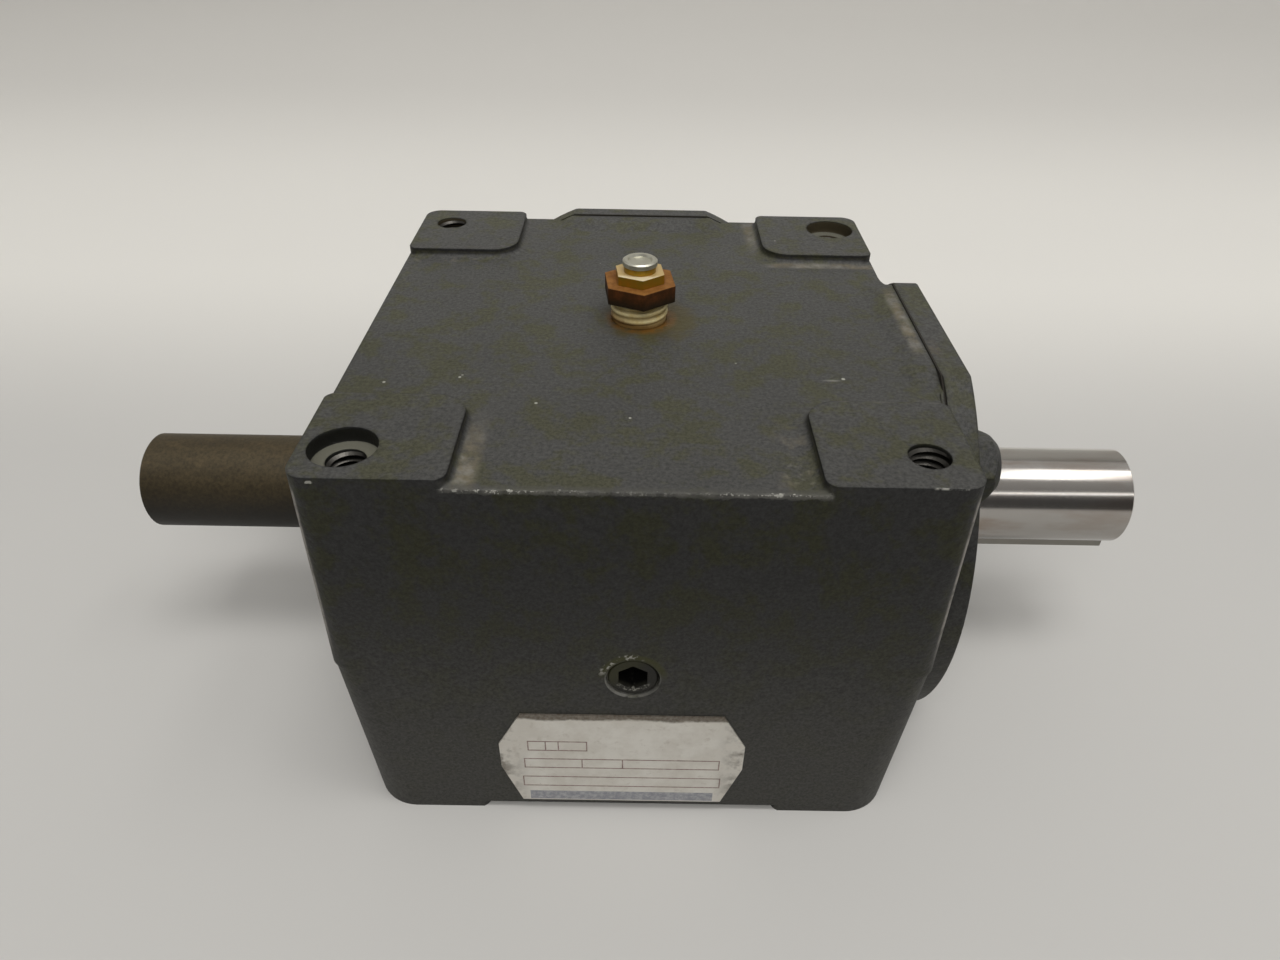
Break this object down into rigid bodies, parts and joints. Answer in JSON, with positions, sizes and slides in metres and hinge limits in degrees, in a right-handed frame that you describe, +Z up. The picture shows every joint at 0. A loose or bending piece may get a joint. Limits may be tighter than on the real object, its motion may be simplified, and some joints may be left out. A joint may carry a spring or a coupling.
{
  "type": "bevel gear reducer",
  "caption": "Right-angle bevel gear reducer: cast box with corner pads, double-ended output shaft, rear pinion input, bolted round bearing caps and a top breather.",
  "frame": {"origin": "middle of the base mounting holes, on the foot plane", "axes": "+X along the output shaft to the keyed end, +Y along the input shaft to the rear, +Z up"},
  "size_m": [0.263, 0.2071, 0.1146],
  "materials": {
    "casting_paint": "satin grainy cast paint",
    "cap_paint": "satin paint",
    "screw_paint": "satin paint",
    "gasket": "matte pressed fibre",
    "seal_rubber": "satin moulded rubber",
    "bushing_steel": "rusted zinc plate",
    "brass": "dull brass",
    "zinc_cap": "bright zinc plate",
    "plug_steel": "black oxide",
    "foil": "dull foil",
    "ground_steel": "ground steel",
    "key_steel": "cold drawn steel",
    "gear_steel": "hobbed steel with an oil film",
    "turned_steel": "turned steel",
    "bearing_steel": "ground bearing steel",
    "cage_steel": "pressed sheet steel"
  },
  "bodies": {
    "housing": {"housing": "casting_paint", "right_bearing_cap": "cap_paint", "rear_bearing_cap": "cap_paint", "right_gasket": "gasket", "rear_gasket": "gasket", "right_cap_screws": "screw_paint", "rear_cap_screws": "screw_paint", "left_bearing_cup": "bearing_steel", "right_bearing_cup": "bearing_steel", "input_front_bearing_cup": "bearing_steel", "input_rear_bearing_cup": "bearing_steel", "left_oil_seal": "seal_rubber", "right_oil_seal": "seal_rubber", "input_oil_seal": "seal_rubber", "breather_bushing": "bushing_steel", "breather_body": "brass", "breather_cap": "zinc_cap", "level_plug": "plug_steel", "drain_plug": "plug_steel", "plate": "foil"},
    "output": {"output_shaft": "ground_steel", "output_key": "key_steel", "bevel_gear": "gear_steel", "gear_key": "key_steel", "gear_spacer": "turned_steel", "left_bearing_cone": "bearing_steel", "right_bearing_cone": "bearing_steel"},
    "input": {"pinion_shaft": "gear_steel", "input_front_bearing_cone": "bearing_steel", "input_rear_bearing_cone": "bearing_steel", "bearing_spacer": "turned_steel", "locknut": "turned_steel"},
    "output_roller_sets": {"left_rollers": "bearing_steel", "left_cage": "cage_steel", "right_rollers": "bearing_steel", "right_cage": "cage_steel"},
    "input_roller_sets": {"input_front_rollers": "bearing_steel", "input_front_cage": "cage_steel", "input_rear_rollers": "bearing_steel", "input_rear_cage": "cage_steel"}
  },
  "joints": [
    {"name": "output_spin", "type": "hinge", "parent": "housing", "child": "output", "pos_m": [0, -0.0032, 0.0508], "axis": [1, 0, 0], "continuous": true},
    {"name": "input_spin", "type": "hinge", "parent": "housing", "child": "input", "pos_m": [0, -0.0032, 0.0508], "axis": [0, 1, 0], "continuous": true},
    {"name": "output_rollers_spin", "type": "hinge", "parent": "housing", "child": "output_roller_sets", "pos_m": [0, -0.0032, 0.0508], "axis": [1, 0, 0], "continuous": true},
    {"name": "input_rollers_spin", "type": "hinge", "parent": "housing", "child": "input_roller_sets", "pos_m": [0, -0.0032, 0.0508], "axis": [0, 1, 0], "continuous": true}
  ],
  "couplings": [
    {"joint": "input_spin", "follows": "output_spin", "ratio": -2},
    {"joint": "output_rollers_spin", "follows": "output_spin", "ratio": 0.42},
    {"joint": "input_rollers_spin", "follows": "output_spin", "ratio": -0.84}
  ]
}
